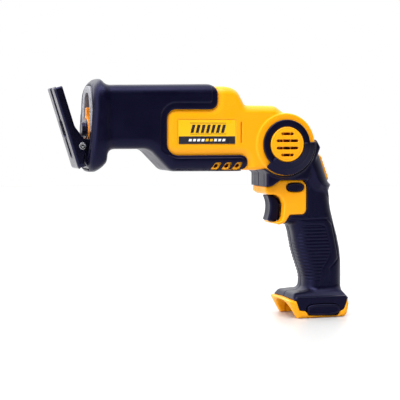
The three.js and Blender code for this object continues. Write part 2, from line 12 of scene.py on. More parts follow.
import bpy
import numpy as np
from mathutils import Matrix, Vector


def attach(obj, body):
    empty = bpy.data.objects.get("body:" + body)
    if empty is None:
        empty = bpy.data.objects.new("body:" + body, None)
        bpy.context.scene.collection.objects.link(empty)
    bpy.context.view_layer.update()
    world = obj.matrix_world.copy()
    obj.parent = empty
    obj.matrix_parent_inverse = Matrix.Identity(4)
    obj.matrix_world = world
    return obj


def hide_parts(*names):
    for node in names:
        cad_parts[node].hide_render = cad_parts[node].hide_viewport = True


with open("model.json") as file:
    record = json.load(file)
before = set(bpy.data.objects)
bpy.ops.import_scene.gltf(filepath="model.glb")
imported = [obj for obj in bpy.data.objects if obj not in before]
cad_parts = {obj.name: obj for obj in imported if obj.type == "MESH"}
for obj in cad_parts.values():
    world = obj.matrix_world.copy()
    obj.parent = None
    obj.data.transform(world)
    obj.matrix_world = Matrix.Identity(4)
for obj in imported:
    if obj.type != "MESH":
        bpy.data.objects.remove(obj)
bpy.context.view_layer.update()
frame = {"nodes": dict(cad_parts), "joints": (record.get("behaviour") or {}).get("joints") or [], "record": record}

MM = 0.001
HUB = np.array(next(j["pos_m"] for j in frame["joints"] if j["name"] == "handle_fold")) / MM
COARSER = 1.0
SEAM = 0.06  # half the gap between two clamshell halves
GAP = 0.3

# ---- driving sizes ----
SPINDLE_Z = 15.5
CLAMP_RADIUS = 9.6
FOOT_Z = -HUB[2]
DRUM = {"radius": 31.2, "half": 28.9, "wall": 2.7}
RING = {"radius": 24.7, "bore": 17.9, "inner": 29.4, "outer": 33.0}
SURROUND = {"radius": 33.6, "start": -134, "end": 5}
BODY_HALF = 28.0
BOOT_HALF = 30.0
BELL_HALF = 33.0
SHELL_WALL = 2.4
GRIP_HALF = 19.0
BLOCK_HALF = 24.5
SPINE_HALF = 26.0
FRAME_HALF = 18.0
CORE_HALF = 15.7
FOOT_HALF = 29.0
SHOE_PIVOT = (-203.4, -0.7)
SHOE_TILT = math.radians(17.1)
BACK = (47.4, -24.5)
BACK_LEAN = math.radians(20.4)

# ---- outlines: (u, v) is a corner as round as its edges allow, (u, v, r) has its own radius ----
HOUSING = [
    (-130, -8, 5), (-116.5, -24, 8), (-31, -25.3, 3), (-20, -23.9, 3), (-10, 0, 0), (5, 27, 3),
    (-1, 32, 6), (-10, 38.4, 8), (-41.5, 38.6, 3.5), (-45, 46), (-49, 52.3), (-55, 56), (-63.7, 57.4),
    (-75, 56.8), (-130, 55.6, 3),
]
BOOT = [
    (-186, 58.2, 3), (-70.5, 60.2, 10), (-70.5, 30, 0), (-39.3, 30, 0), (-39.3, -27.3, 8.4),
    (-118, -26.6, 10), (-139.5, -4.6, 14), (-186, -4.6, 0),
]
BOOT_SECTION = [
    (-220, 58.2, 0), (0, 61.3, 0), (0, -27.3, 0), (-118, -26.6, 10), (-139.5, -4.6, 14), (-220, -4.6, 0),
]
WINDOW = [
    (-122.5, 34.4, 9), (-122.5, -10.1, 11), (-39.3, -10.1, 8.4), (-39.3, -60, 0), (20, -60, 0),
    (20, 90, 0), (-70.5, 90, 0), (-70.5, 34.4, 9),
]
BELL_SIDE = [
    (-198.5, -29, 0), (-198.5, -4), (-194.6, 22), (-194.6, 50), (-192.6, 58), (-188, 65.2),
    (-184, 65), (-180.5, 55.4), (-181, -16, 8), (-189, -29, 3),
]
GRIP = [
    (-18, -20, 0), (-18, -44, 1), (0, -60, 1), (6, -81, 1), (13.2, -82.4, 3), (16, -90.4),
    (17.2, -100.5), (20.2, -113), (24, -123.6), (28, -134.9), (28.4, -144.2), (24, -158, 1),
    (69, -158, 1), (69, -149), (68.9, -126.2), (68.6, -114.6), (66, -100), (62.6, -87.4),
    (58.7, -73.8), (55.8, -61.3), (54, -47.5, 2), (56.4, -41.2, 1.5), (53.2, -38.2), (43.6, -11.6),
    (40.4, -4), (35.4, 4.6, 3), (31, 4.8, 0), (0, 0, 0),
]
FRAME = [
    (-17.8, -42.5, 0.8), (-12.6, -42.2, 3), (-3, -35.9, 3), (22, -36.2, 4), (26.8, -41, 4),
    (26.8, -67, 4), (24.2, -71.2, 3), (9, -71.4, 2.5), (3.5, -79.5, 4), (-3, -81, 2), (-7, -79.2, 0.8),
    (0, -77, 3), (1.8, -73.3, 3), (3, -61.1, 9), (0, -54, 5), (-5, -50.7, 3), (-14, -50.3, 2),
    (-18, -47.6, 1.5),
]
CORE = [
    (2, -42, 1), (24, -42, 1), (46, -50, 4), (51, -62), (58, -88), (64.5, -115), (64.8, -158.5, 0),
    (30, -158.5, 0), (30, -150, 2), (31.6, -145), (31.4, -135), (24.4, -113), (20.6, -92),
    (16.4, -84.5, 2), (7, -78, 1), (2, -70, 1),
]
FOOT = [
    (4.3, -156.9, 1), (7.6, -163.5), (14.9, FOOT_Z, 2), (65.5, FOOT_Z, 2), (68.6, -172.5, 2),
    (70.5, -162.1, 3), (69.5, -156.9, 1),
]
SKIRT = [
    (12.4, -154, 0), (12.6, -157, 2), (15.9, -167.6, 3), (22.4, -167.9, 3), (25.7, -172.6, 4),
    (57.5, -174.1, 4), (60.8, -168.6, 3), (64, -168.7, 3), (68, -158.7, 2), (66.6, -154, 0),
]
SHOULDER = [(-40, 10, 0), (-40, -43.4, 0), (-12.3, -43.2, 3), (-2.8, -37, 3), (27, -37, 3), (45, 10, 0)]
SPINE = [
    (16, 10, 0), (28.7, -16.5, 12), (34.5, -29.8, 8), (36.5, -36), (40, -39.2, 3), (80, -39.8, 0),
    (80, 30, 0), (16, 30, 0),
]
FINGER_ROOM = [(-30, -50), (9, -50), (9, -71.4), (3.5, -79.3), (3.5, -82), (-30, -82)]
TRIGGER = [
    (-11.9, -51.3, 1), (-9.4, -57), (-8.6, -62.6), (-9.3, -70), (-11.4, -76.4, 1), (-9.6, -78.2, 1.5),
    (-1, -78.3, 2), (1.2, -74, 2), (2.4, -61.1, 9), (-0.5, -54.5, 4), (-5, -51.3, 1),
]
RIB_PANEL = [
    (20.5, -82, 5), (46.9, -82.3, 5), (51.4, -97.8, 8), (53.7, -110.1, 8), (51.5, -116.2, 5),
    (43.9, -128.2, 7), (41.8, -150, 0), (0, -150, 0), (0, -97.5, 0), (17, -97.5, 3),
]
VENT_XS = (-72.5, -61.5, -50.5)
HOUSING_SCREWS = ((-58, 46), (-25, 33), (-34, -17), (-92, 46))
HANDLE_SCREWS = ((44, -60), (40, -104), (62.5, -166))
HANDLE_HEAD_W = 13.0  # where the handle screws' heads rest
LABEL = {"x": (-111.5, -52.5), "z": (0.4, 24.4), "thick": 0.9, "recess": 1.2}
LOCK_OFF = {"centre": (14.3, -43.4), "half": (9.1, 4.3)}
PAD = {"centre": (41.3, -167.2), "half": (17.6, 5.6)}
MOUTH = {"half": 12.5, "low_half": 15.2, "low_top": 12.0, "bottom": -23.4, "back": -180.8}


# ---- outlines and their distances ----
def rounded(points):
    """The outline's points with every corner turned into an arc."""
    corners = [np.array(p[:2], float) for p in points]
    result = []
    for i, point in enumerate(points):
        here = corners[i]
        before = corners[i - 1] - here
        after = corners[(i + 1) % len(points)] - here
        lengths = np.linalg.norm(before), np.linalg.norm(after)
        before, after = before / lengths[0], after / lengths[1]
        opening = math.acos(float(np.clip(before @ after, -1, 1)))
        reach = 0.49 * min(lengths)
        if len(point) == 3:
            reach = min(point[2] / math.tan(opening / 2), 0.95 * min(lengths))
        if reach < 0.01 or opening > math.radians(179.5):
            result.append(tuple(here))
            continue
        radius = reach * math.tan(opening / 2)
        middle = here + (before + after) / np.linalg.norm(before + after) * radius / math.sin(opening / 2)
        first, last = here + before * reach - middle, here + after * reach - middle
        turn = math.atan2(first[0] * last[1] - first[1] * last[0], first @ last)
        steps = max(1, math.ceil(abs(turn) / math.radians(9)))
        for k in range(steps + 1):
            c, s = math.cos(turn * k / steps), math.sin(turn * k / steps)
            swung = (c * first[0] - s * first[1], s * first[0] + c * first[1])
            result.append((middle[0] + swung[0], middle[1] + swung[1]))
    return result


def outline(u, v, points):
    """Distance to a closed outline, negative inside; u and v broadcast."""
    squared = np.full(np.broadcast(u, v).shape, 1e9, np.float32)
    inside = np.zeros(squared.shape, bool)
    for (u0, v0), (u1, v1) in zip(points, points[1:] + points[:1]):
        du, dv = u1 - u0, v1 - v0
        if du * du + dv * dv < 1e-9:
            continue
        along = np.clip(((u - u0) * du + (v - v0) * dv) / (du * du + dv * dv), 0, 1)
        squared = np.minimum(squared, (u - u0 - along * du) ** 2 + (v - v0 - along * dv) ** 2)
        if abs(dv) > 1e-9:
            inside ^= ((v0 > v) != (v1 > v)) & (u < u0 + (v - v0) / dv * du)
    return np.where(inside, -1, 1) * np.sqrt(squared)


def oval(half_u, half_v, centre, power, steps=72):
    """The points of a superellipse."""
    points = []
    for i in range(steps):
        c, s = math.cos(2 * math.pi * i / steps), math.sin(2 * math.pi * i / steps)
        u = half_u * math.copysign(abs(c) ** (2 / power), c)
        v = half_v * math.copysign(abs(s) ** (2 / power), s)
        points.append((centre[0] + u, centre[1] + v))
    return points


def arc(radius, start, end, steps):
    angles = [math.radians(start + (end - start) * i / steps) for i in range(steps + 1)]
    return [(radius * math.cos(a), radius * math.sin(a)) for a in angles]


def pill(u, v, half_u, half_v):
    """Distance to a slot with round ends, about the origin."""
    radius = min(half_u, half_v)
    du = np.maximum(np.abs(u) - (half_u - radius), 0)
    dv = np.maximum(np.abs(v) - (half_v - radius), 0)
    return np.hypot(du, dv) - radius


def brick(u, v, u_range, v_range, radius=0.0):
    """Distance to a rectangle."""
    du = np.abs(u - (u_range[0] + u_range[1]) / 2) - (u_range[1] - u_range[0]) / 2
    dv = np.abs(v - (v_range[0] + v_range[1]) / 2) - (v_range[1] - v_range[0]) / 2
    return meet(du, dv, radius)


def slab(u, u_range):
    """Distance to the layer between two parallel planes."""
    return brick(u, u, u_range, u_range)


# ---- joining and cutting fields ----
def meet(a, b, radius=0.0):
    """The overlap of two fields, with its edge rounded."""
    a, b = a + radius, b + radius
    return np.hypot(np.maximum(a, 0), np.maximum(b, 0)) + np.minimum(np.maximum(a, b), 0) - radius


def join(a, b, radius=0.0):
    """Both fields together, with a fillet where they cross."""
    return -meet(-a, -b, radius)


def cut(a, b, radius=0.0):
    """The first field less the second, with its edge rounded."""
    return meet(a, -b, radius)


def ease(t):
    t = np.clip(t, 0, 1)
    return t * t * (3 - 2 * t)


# ---- meshing ----
class Grid:
    """Sample points in a box; the axes x, w and z broadcast against each other."""

    def __init__(self, x, w, z, step):
        step *= COARSER
        self.step = step
        self.low = np.array([x[0], w[0], z[0]])
        axes = [np.arange(lo, hi + step, step, dtype=np.float32) for lo, hi in (x, w, z)]
        self.x = axes[0][:, None, None]
        self.w = axes[1][None, :, None]
        self.z = axes[2][None, None, :]
        self.shape = tuple(len(a) for a in axes)

    def folded(self):
        """The same points, with w counted from the middle plane on both sides."""
        twin = copy.copy(self)
        twin.w = np.abs(self.w)
        return twin


CORNERS = [(i, j, k) for i in (0, 1) for j in (0, 1) for k in (0, 1)]
EDGES = [(a, b) for a in CORNERS for b in CORNERS if a < b and sum(abs(p - q) for p, q in zip(a, b)) == 1]


def corner_values(field, cells):
    """The field at the eight corners of each cell."""
    return {c: field[cells[:, 0] + c[0], cells[:, 1] + c[1], cells[:, 2] + c[2]] for c in CORNERS}


def surface_net(grid, field):
    """The vertices and quads of the surface where the field is zero."""
    field = np.ascontiguousarray(np.broadcast_to(field, grid.shape), dtype=np.float32)
    solid = field < 0
    nx, ny, nz = grid.shape
    count = sum(solid[i:nx - 1 + i, j:ny - 1 + j, k:nz - 1 + k].astype(np.uint8) for i, j, k in CORNERS)
    active = (count > 0) & (count < 8)
    cells = np.argwhere(active)
    number = np.full(active.shape, -1, np.int64)
    number[active] = np.arange(len(cells))
    values = corner_values(field, cells)
    total = np.zeros((len(cells), 3))
    hits = np.zeros(len(cells))
    for a, b in EDGES:
        crosses = (values[a] < 0) != (values[b] < 0)
        span = np.where(crosses, values[a] - values[b], 1)
        t = np.where(crosses, values[a] / span, 0)[:, None]
        total += np.where(crosses[:, None], np.array(a) + t * (np.array(b) - np.array(a)), 0)
        hits += crosses
    inner = total / hits[:, None]
    for _ in range(2):
        inner = settle(inner, values)
    quads = []
    for axis in range(3):
        quads.append(crossing_quads(solid, number, axis))
    return grid.low + grid.step * (cells + inner), np.concatenate(quads)


def settle(inner, values):
    """Moves each vertex along the field's slope, inside its own cell, towards the surface."""
    f = np.zeros(len(inner))
    slope = np.zeros((len(inner), 3))
    for corner in CORNERS:
        shares = [inner[:, n] if corner[n] else 1 - inner[:, n] for n in range(3)]
        f += values[corner] * shares[0] * shares[1] * shares[2]
        for n in range(3):
            others = [shares[m] for m in range(3) if m != n]
            slope[:, n] += values[corner] * others[0] * others[1] * (1 if corner[n] else -1)
    steep = np.maximum((slope ** 2).sum(1), 1e-6)
    return np.clip(inner - (f / steep)[:, None] * slope, 0.02, 0.98)


def crossing_quads(solid, number, axis):
    """One quad round each grid edge along the axis that crosses the surface."""
    turned = np.moveaxis(solid, [axis, (axis + 1) % 3, (axis + 2) % 3], [0, 1, 2])
    cells = np.moveaxis(number, [axis, (axis + 1) % 3, (axis + 2) % 3], [0, 1, 2])
    low, high = turned[:-1, 1:-1, 1:-1], turned[1:, 1:-1, 1:-1]
    i, j, k = np.nonzero(low != high)
    j, k = j + 1, k + 1
    ring = [cells[i, j - 1, k - 1], cells[i, j, k - 1], cells[i, j, k], cells[i, j - 1, k]]
    quads = np.stack(ring, axis=1)
    backwards = ~turned[i, j, k]
    quads[backwards] = quads[backwards][:, ::-1]
    return quads


def new_object(name, points, quads, materials, smooth=True):
    """A mesh object in the row frame from points in hub millimetres."""
    mesh = bpy.data.meshes.new(name)
    mesh.vertices.add(len(points))
    mesh.vertices.foreach_set("co", ((np.asarray(points) + HUB) * MM).astype(np.float32).ravel())
    mesh.loops.add(4 * len(quads))
    mesh.loops.foreach_set("vertex_index", np.asarray(quads, np.int32).ravel())
    mesh.polygons.add(len(quads))
    mesh.polygons.foreach_set("loop_start", np.arange(0, 4 * len(quads), 4, dtype=np.int32))
    mesh.polygons.foreach_set("use_smooth", np.full(len(quads), smooth))
    mesh.update(calc_edges=True)
    mesh.validate()
    for material in materials:
        mesh.materials.append(material)
    piece = bpy.data.objects.new(name, mesh)
    bpy.context.scene.collection.objects.link(piece)
    return piece


def sculpt(name, grid, field, slot, side=1, place=None):
    """Meshes a field; side -1 mirrors w onto the saw's left, and place turns local points into hub ones."""
    points, quads = surface_net(grid, field)
    points = points * np.array([1, side, 1])
    if side < 0:
        quads = quads[:, ::-1]
    if place:
        points = place(points)
    return new_object(name, points, quads, [LOOKS[slot]])


def fit(piece, body, node):
    """Puts a piece on its body in place of one CAD node."""
    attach(piece, body)
    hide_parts(node)


def shell_half(grid, field):
    """One clamshell half: what lies beyond the seam, with a softened edge."""
    return meet(field, SEAM - grid.w, 0.15)


SIDES = ((-1, "left"), (1, "right"))


def single(node, grid, field, body, slot, place=None):
    fit(sculpt(f"look_{node}", grid, field, slot, place=place), body, node)


def pair(name, grid, field, body, slot, right_field=None):
    """Left and right pieces; the right side takes its own field where it has screw wells."""
    for side, word in SIDES:
        own = right_field if side > 0 and right_field is not None else field
        piece = sculpt(f"look_{name}_{word}", grid, own, slot, side)
        fit(piece, body, f"{name}_{word}")


# ---- materials ----
class Nodes:
    """A short way to write a material's node tree."""

    def __init__(self, name):
        self.material = bpy.data.materials.new(name)
        self.material.use_nodes = True
        self.tree = self.material.node_tree
        self.shader = self.tree.nodes["Principled BSDF"]
        self.place = self.add("ShaderNodeTexCoord").outputs["Object"]

    def add(self, kind, inputs=None, **settings):
        node = self.tree.nodes.new(kind)
        for key, value in settings.items():
            setattr(node, key, value)
        for key, value in (inputs or {}).items():
            if isinstance(value, bpy.types.NodeSocket):
                self.tree.links.new(value, node.inputs[key])
            else:
                node.inputs[key].default_value = value
        return node

    def link(self, output, socket):
        self.tree.links.new(output, self.shader.inputs[socket])

    def noise(self, scale, detail=3.0, rough=0.5):
        inputs = {"Vector": self.place, "Scale": scale, "Detail": detail, "Roughness": rough}
        return self.add("ShaderNodeTexNoise", inputs).outputs["Fac"]

    def spread(self, value, from_low, from_high, low, high):
        inputs = {"Value": value, "From Min": from_low, "From Max": from_high}
        inputs.update({"To Min": low, "To Max": high})
        return self.add("ShaderNodeMapRange", inputs).outputs["Result"]

    def mix(self, factor, first, second):
        node = self.add("ShaderNodeMix", data_type="RGBA")
        for socket, value in zip((node.inputs[0], node.inputs[6], node.inputs[7]), (factor, first, second)):
            if isinstance(value, bpy.types.NodeSocket):
                self.tree.links.new(value, socket)
            else:
                socket.default_value = value
        return node.outputs[2]


def shade(color, factor):
    """A colour made lighter or darker."""
    return tuple(min(1.0, c * factor) for c in color[:3]) + (1.0,)


def finish(name, color, rough, grain, depth, metal=0.0, vary=0.08, edge=None, edge_share=0.5, coat=0.0,
           specular=0.5, tint=(1, 1, 1, 1), scratches=0.0):
    """A moulded, cast or turned surface: cloudy tone, fine grain in relief, and a painted highlight that lightens
    sharp edges to a tone.

    grain is the grain's size and depth its height, both in millimetres.
    """
    m = Nodes(name)
    m.shader.inputs["Metallic"].default_value = metal
    m.shader.inputs["Coat Weight"].default_value = coat
    m.shader.inputs["Coat Roughness"].default_value = 0.25
    m.shader.inputs["Specular IOR Level"].default_value = specular
    m.shader.inputs["Specular Tint"].default_value = tint
    cloud = m.noise(28, 4)
    tone = m.mix(m.spread(cloud, 0.3, 0.7, 0, 1), shade(color, 1 - vary), shade(color, 1 + vary))
    speck = m.spread(m.noise(1000 / (2.5 * grain), 2), 0.62, 0.8, 0, 0.35)
    tone = m.mix(speck, tone, shade(color, 1 + 3 * vary))
    # painted highlight: where the surface is sharply convex (pointiness), the colour is mixed in patches towards
    # the lighter edge colour
    if edge:
        sharp = m.add("ShaderNodeNewGeometry").outputs["Pointiness"]
        glint_patches = m.spread(m.noise(160, 3), 0.3, 0.7, 0.3, 1)
        edge_glint = m.spread(sharp, 0.515, 0.57, 0, edge_share)
        edge_glint = m.add("ShaderNodeMath", {0: edge_glint, 1: glint_patches}, operation="MULTIPLY").outputs[0]
        tone = m.mix(edge_glint, tone, edge)
    m.link(tone, "Base Color")
    m.link(m.spread(m.noise(60, 5), 0.3, 0.7, rough - 0.06, rough + 0.07), "Roughness")
    height = m.noise(1000 / grain, 2, 0.6)
    if scratches:
        stretched = m.add("ShaderNodeMapping", {"Vector": m.place, "Scale": (60, 60, 2500)}).outputs[0]
        inputs = {"Vector": stretched, "Scale": 1.0, "Detail": 3.0}
        lines = m.add("ShaderNodeTexNoise", inputs).outputs["Fac"]
        height = m.add("ShaderNodeMath", {0: height, 1: lines}, operation="ADD").outputs[0]
    bump = m.add("ShaderNodeBump", {"Height": height, "Distance": depth * MM, "Strength": 1.0})
    m.link(bump.outputs["Normal"], "Normal")
    return m.material


YELLOW = (0.95, 0.37, 0.0, 1)
NEAR_BLACK = (0.0016, 0.0014, 0.008, 1)
NAVY_SHEEN = (0.35, 0.35, 0.85, 1)
# edge, in the looks below, is the colour of the painted highlight on sharp edges
LOOKS = {
    "yellow_abs": finish("yellow_plastic", YELLOW, 0.36, 0.5, 0.02, vary=0.025, edge=(1, 0.55, 0.03, 1),
                         edge_share=0.35, specular=0.3),
    "black_rubber": finish("moulded_rubber", NEAR_BLACK, 0.35, 0.45, 0.05, vary=0.12,
                           edge=(0.03, 0.03, 0.045, 1), edge_share=0.5, specular=0.33,
                           tint=NAVY_SHEEN),
    "black_nylon": finish("black_nylon", (0.002, 0.002, 0.009, 1), 0.4, 0.4, 0.03, vary=0.1,
                          edge=(0.04, 0.04, 0.05, 1), edge_share=0.45, specular=0.3, tint=NAVY_SHEEN),
    "grey_nylon": finish("grey_nylon", (0.2, 0.2, 0.23, 1), 0.4, 0.4, 0.025, vary=0.05),
    "label_black": finish("label_black", (0.012, 0.011, 0.02, 1), 0.3, 0.8, 0.004, vary=0.06, coat=0.4),
    "label_yellow": finish("label_yellow", (0.95, 0.5, 0.0, 1), 0.3, 0.8, 0.004, vary=0.03, coat=0.4),
    "label_white": finish("label_white", (0.8, 0.8, 0.8, 1), 0.35, 0.8, 0.004, vary=0.03),
    "screw_steel": finish("screw_steel", (0.32, 0.32, 0.34, 1), 0.34, 0.6, 0.01, 1.0, vary=0.1,
                          edge=(0.7, 0.7, 0.7, 1)),
    "bright_steel": finish("ground_steel", (0.3, 0.3, 0.32, 1), 0.26, 0.3, 0.006, 1.0, vary=0.06,
                           scratches=1),
    "black_steel": finish("black_oxide_steel", (0.002, 0.002, 0.006, 1), 0.22, 0.5, 0.01, 0.0, vary=0.2,
                          edge=(0.3, 0.3, 0.32, 1), edge_share=0.4, specular=0.45, tint=NAVY_SHEEN),
    "orange_steel": finish("orange_lever", (0.9, 0.27, 0.01, 1), 0.36, 0.5, 0.012, 0.0, vary=0.08,
                           edge=(1, 0.5, 0.1, 1)),
    # partly the metal's own grey, partly painted shade: the grey is set darker so that the gear case deep inside
    # the nose looks shaded
    "cast_metal": finish("cast_magnesium_painted_shade", (0.12, 0.12, 0.13, 1), 0.55, 0.7, 0.05, 1.0, vary=0.12,
                         edge=(0.6, 0.6, 0.62, 1)),
    "bronze": finish("sintered_bronze", (0.42, 0.24, 0.1, 1), 0.45, 0.35, 0.02, 1.0, vary=0.12),
    "copper": finish("wound_copper", (0.55, 0.2, 0.08, 1), 0.35, 0.5, 0.03, 1.0, vary=0.15),
    "magnet_grey": finish("ferrite", (0.06, 0.06, 0.065, 1), 0.75, 0.4, 0.03, vary=0.15),
    "red_cover": finish("red_insulation", (0.5, 0.015, 0.012, 1), 0.45, 0.6, 0.01, vary=0.06),
}


# ---- motor housing ----
def window_distance(x, z):
    """Negative where the housing shows through the boot."""
    return outline(x, z, rounded(WINDOW))


def housing_outside(grid):
    """The housing's outer surface: flat sides that curve in towards the rubber, and the hub's drum."""
    plan = outline(grid.x, grid.z, rounded(HOUSING))
    window = window_distance(grid.x, grid.z)
    tuck = 2.0 * (1 - np.clip(-window / 8.0, 0, 1)) ** 2
    edge = 3.5 + 4.5 * ease((grid.z - 24) / 10)
    body = meet(plan, grid.w - (BODY_HALF - tuck), edge)
    drum = meet(np.hypot(grid.x, grid.z) - DRUM["radius"], grid.w - DRUM["half"], 1.6)
    return join(body, drum, 0.8)


def gear_case_block(grid, grow):
    """The room the gear case takes up."""
    return meet(brick(grid.x, grid.z, (-174.5 - grow, -102.5 + grow), (-1 - grow, 53 + grow)),
                grid.w - 24 - grow)


def vent_slot(grid, grow):
    """The three slanted slots low on the rear of the body."""
    lean = grid.x - (grid.z + 20.75) * 0.6
    heights = (-24 - grow, -17.3 + grow)
    slots = [brick(lean, grid.z, (x - 3.2 - grow, x + 3.8 + grow), heights, 1.5) for x in VENT_XS]
    return np.minimum(np.minimum(slots[0], slots[1]), slots[2])


def screw_wells(grid, centres, head_w):
    """Counterbores over the screw heads, open towards the right side."""
    wells = [meet(np.hypot(grid.x - u, grid.z - v) - 3.3, head_w - 0.5 - grid.w) for u, v in centres]
    field = wells[0]
    for well in wells[1:]:
        field = np.minimum(field, well)
    return field


def make_housing():
    """Thin yellow shells, with recesses for the label and the screws."""
    grid = Grid((-131.5, 34), (-0.8, 31), (-34, 60), 0.7)
    x, w, z = grid.x, grid.w, grid.z
    field = housing_outside(grid)
    plan = outline(x, z, rounded(HOUSING))
    bay = np.maximum(plan + SHELL_WALL, w - (BODY_HALF - 2 * SHELL_WALL))
    room = np.maximum(np.hypot(x, z) - DRUM["radius"] + DRUM["wall"], w - DRUM["half"] + DRUM["wall"])
    field = cut(field, np.minimum(bay, room))
    field = cut(field, gear_case_block(grid, GAP))
    field = cut(field, np.hypot(x, z) - RING["bore"] + GAP, 0.4)
    field = cut(field, vent_slot(grid, -1.6), 0.3)
    label_x, label_z = ((LABEL[axis][0] - GAP, LABEL[axis][1] + GAP) for axis in ("x", "z"))
    label = brick(x, z, label_x, label_z, 0.8)
    field = cut(field, meet(label, BODY_HALF - LABEL["recess"] - w), 0.3)
    groove = meet(brick(x, z, (-47.2, -45.7), (1.6, 22.3), 0.5), BODY_HALF - 2.6 - w)
    field = cut(field, groove, 0.1)
    field = shell_half(grid, field)
    right = cut(field, screw_wells(grid, HOUSING_SCREWS, BODY_HALF - 3), 0.4)
    pair("housing", grid, field, "saw_body", "yellow_abs", right)


# ---- nose boot ----
def mouth_field(grid):
    """The blade opening: an oval above and a wider, deeper room for the shoe's bracket below."""
    upper = outline(grid.w, grid.z, oval(MOUTH["half"] + 1.2, 36, (0, 14.2), 2.4))
    low_w = (-MOUTH["low_half"], MOUTH["low_half"])
    low = brick(grid.w, grid.z, low_w, (MOUTH["bottom"], MOUTH["low_top"]), 2)
    deep = np.maximum(upper, grid.x + 175)
    wide = np.maximum(low, grid.x - MOUTH["back"])
    return np.minimum(deep, wide)


def bell_field(grid):
    """The flared front end of the boot."""
    front = outline(grid.w, grid.z, oval(BELL_HALF, 46.4, (0, 19.6), 3.2))
    side = outline(grid.x, grid.z, rounded(BELL_SIDE))
    return meet(front, side, 6)


def make_boot():
    """The rubber boot: a rounded hull with a stepped border round the window, and the bell in front."""
    grid = Grid((-200, -37.5), (-34.5, 34.5), (-29, 67), 0.8)
    half = grid.folded()
    x, w, z = half.x, half.w, half.z
    plan = outline(x, z, rounded(BOOT))
    window = window_distance(x, z)
    band = 3.2 + 4.0 * ease((z + 12) / 8)
    step_in = 1.1 * ease((band - window) / 0.9)
    hull = meet(outline(x, z, rounded(BOOT_SECTION)), w - (BOOT_HALF - step_in), 11.5)
    hull = meet(hull, plan, 2.5)
    hull = cut(hull, window, 1.0)
    field = join(bell_field(half), hull, 4 + 5 * ease((20 - z) / 30))
    ridge = np.abs(outline(half.w, z, oval(BELL_HALF - 6.5, 39, (0, 20.5), 2.5)))
    field = field - 1.0 * np.exp(-((ridge / 1.0) ** 2)) * (x < -190)
    field = cut(field, housing_outside(half) - GAP)
    field = cut(field, gear_case_block(half, GAP))
    field = cut(field, mouth_field(half), 1.6)
    field = cut(field, bezel_ring(half, GAP), 0.6)
    field = cut(field, vent_slot(half, 0), 0.8)
    single("nose_boot", grid, field, "saw_body", "black_rubber")


def bezel_ring(grid, grow):
    """The ring round the blade opening, open at the bottom."""
    rim = outline(grid.w, grid.z, oval(24 + grow, 35 + grow, (0, 22), 2.2))
    opening = outline(grid.w, grid.z, oval(MOUTH["half"] + 1.2 - grow, 70 - grow, (0, -19.8), 3.4))
    ring = meet(rim, slab(grid.x, (-195.6 - grow, -189 + grow)), 0.5)
    ring = cut(ring, opening, 0.8)
    low = brick(grid.w, grid.z, (-MOUTH["low_half"], MOUTH["low_half"]), (-60, MOUTH["low_top"]), 0.5)
    return cut(ring, low, 0.5)


def make_bezel():
    grid = Grid((-196.8, -188), (-25, 25), (-14, 58.5), 0.45)
    half = grid.folded()
    field = bezel_ring(half, 0)
    for low, high in ((22, 27.5), (30.5, 36), (39, 44.5)):
        slot = brick(half.w, half.z, (16.2, 18.0), (low, high), 0.8)
        field = cut(field, meet(slot, grid.x + 192), 0.3)
    lip = np.abs(outline(half.w, half.z, oval(21, 32, (0, 22), 2.2)))
    field = field - 0.35 * np.exp(-((lip / 0.8) ** 2))
    single("nose_bezel", grid, field, "saw_body", "grey_nylon")


# ---- vent covers in the hub ----
def make_vent_covers():
    """Round caps with four slots and a groove near the rim, ribbed behind the slots."""
    radius = RING["bore"] - 0.5
    grid = Grid((-18.4, 18.4), (22.2, 35.2), (-18.4, 18.4), 0.4)
    x, w, z = grid.x, grid.w, grid.z
    r = np.hypot(x, z)
    field = meet(r - radius, w - 34, 1.0)
    field = meet(field, 23 - w, 0.3)
    field = cut(field, meet(r - radius + 2.4, w - 32), 0.3)
    field = field + 0.35 * np.exp(-(((r - 15.4) / 0.5) ** 2)) * (w > 30)
    for height, half in ((10.5, 6.7), (3.6, 11.6), (-3.6, 11.6), (-10.5, 6.7)):
        field = cut(field, pill(x, z - height, half, 1.4), 0.2)
    ribs = np.abs(np.abs(x) - 3.9) - 0.45
    bars = meet(meet(ribs, r - radius + 1), slab(w, (30.0, 31.6)), 0.2)
    field = join(field, bars, 0.2)
    pair("vent_cover", grid, field, "saw_body", "yellow_abs")


# ---- grip halves ----
def back_frame(x, z):
    """Distances out of the handle's back and along it, about the release button."""
    c, s = math.cos(BACK_LEAN), math.sin(BACK_LEAN)
    out = (x - BACK[0]) * c + (z - BACK[1]) * s
    along = (z - BACK[1]) * c - (x - BACK[0]) * s
    return out, along


def line_distance(x, z, points):
    """Distance to an open run of lines."""
    nearest = np.full(np.broadcast(x, z).shape, 1e9, np.float32)
    for (u0, v0), (u1, v1) in zip(points, points[1:]):
        du, dv = u1 - u0, v1 - v0
        along = np.clip(((x - u0) * du + (z - v0) * dv) / (du * du + dv * dv), 0, 1)
        nearest = np.minimum(nearest, np.hypot(x - u0 - along * du, z - v0 - along * dv))
    return nearest


def grip_relief(x, w, z):
    """How deep the grip's ribs and lines are cut."""
    panel = outline(x, z, rounded(RIB_PANEL))
    inside = ease(-panel / 1.2 - 0.4)
    wave = 0.5 + 0.5 * np.cos(2 * math.pi * (z + 97.5) / 3.4)
    low_end = ease((z + 141) / 5)
    relief = 0.55 * wave ** 2 * inside * low_end
    relief = relief + 0.5 * np.exp(-((panel / 0.8) ** 2)) * (x > 24) * ease((z + 150) / 8)
    lines = [
        ([(9, -76.5), (23, -76.5), (50, -76), (56, -82), (62.6, -116.6)], 0.7, 0.7),
        ([(62, -117.5), (52.7, -126.5), (52.8, -141)], 0.6, 0.7),
        ([(29.6, -45), (29.6, -73)], 0.6, 0.8),
        ([(37, -52), (37, -73)], 0.3, 1.2),
    ]
    for points, depth, width in lines:
        relief = relief + depth * np.exp(-((line_distance(x, z, points) / width) ** 2))
    return relief * ease((w - 3) / 3)


